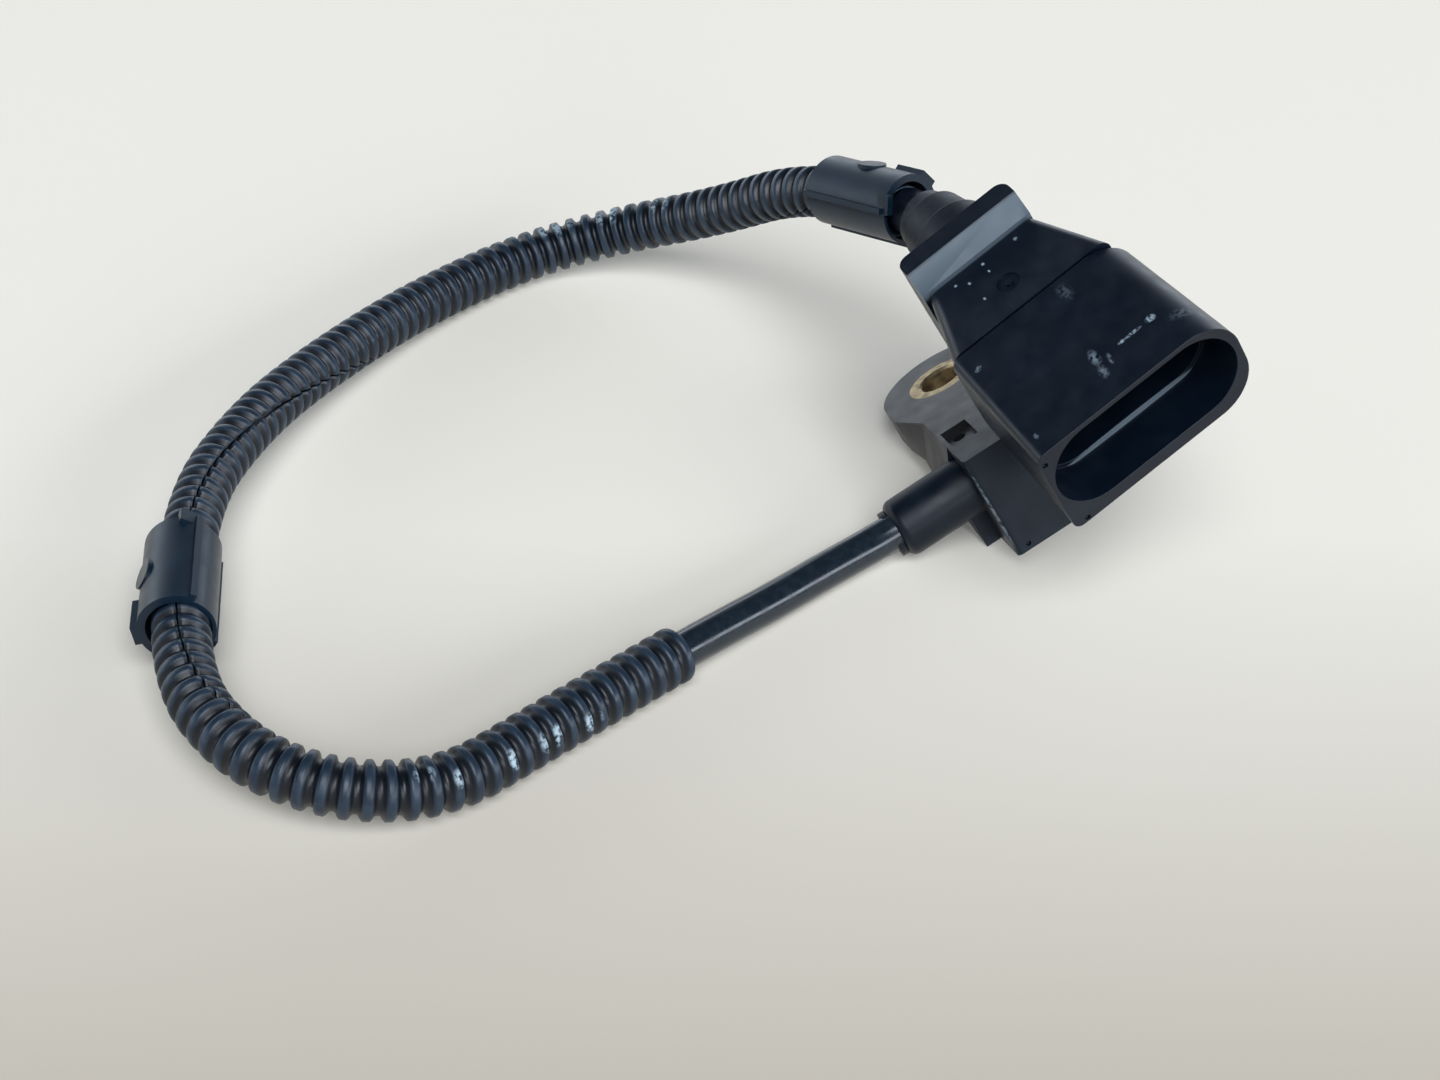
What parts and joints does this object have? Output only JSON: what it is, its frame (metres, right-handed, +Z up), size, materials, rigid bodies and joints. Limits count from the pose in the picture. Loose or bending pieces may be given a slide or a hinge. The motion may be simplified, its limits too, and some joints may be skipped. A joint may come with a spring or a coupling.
{
  "type": "camshaft position sensor",
  "caption": "Moulded sensor head with a bolt ear and brass bush, a cable in corrugated conduit with harness clips, and an oval-mouthed plug.",
  "frame": {"origin": "on the floor, under the middle of the sensor head as it lies", "axes": "+Z up from the floor the part lies on; +Y along the head, from its nose to its bolt ear; the plug's mouth looks along -Y; the cable loops out to -X"},
  "size_m": [0.145, 0.1216, 0.0479],
  "materials": {
    "housing_plastic": "fine matt moulded plastic",
    "bush_brass": "turned, slightly dulled",
    "chip_epoxy": "moulded epoxy",
    "magnet": "ground magnet",
    "carrier_plastic": "unfinished",
    "lead_tin": "tinned",
    "core_insulation": "smooth insulation",
    "sleeve_plastic": "satin moulded plastic",
    "jacket": "satin cable jacket",
    "conduit_plastic": "ribbed, scuffed",
    "clip_plastic": "satin",
    "plug_plastic": "fine matt moulded plastic, scratched",
    "cover_plastic": "fine matt moulded plastic",
    "boot_rubber": "smooth rubber",
    "blade_tin": "tinned contact"
  },
  "bodies": {
    "root": {"sensor_housing": "housing_plastic", "bolt_bush": "bush_brass", "hall_chip": "chip_epoxy", "bias_magnet": "magnet", "chip_carrier": "carrier_plastic", "cable_sleeve": "sleeve_plastic", "cable_jacket": "jacket", "conduit": "conduit_plastic", "clip_near_plug": "clip_plastic", "clip_mid": "clip_plastic", "plug_housing": "plug_plastic", "plug_rear_cover": "cover_plastic", "cable_boot": "boot_rubber", "contact_lock": "carrier_plastic", "chip_lead_1": "lead_tin", "head_core_1": "core_insulation", "plug_core_1": "core_insulation", "blade_1": "blade_tin", "chip_lead_2": "lead_tin", "head_core_2": "core_insulation", "plug_core_2": "core_insulation", "blade_2": "blade_tin", "chip_lead_3": "lead_tin", "head_core_3": "core_insulation", "plug_core_3": "core_insulation", "blade_3": "blade_tin"}
  },
  "joints": []
}
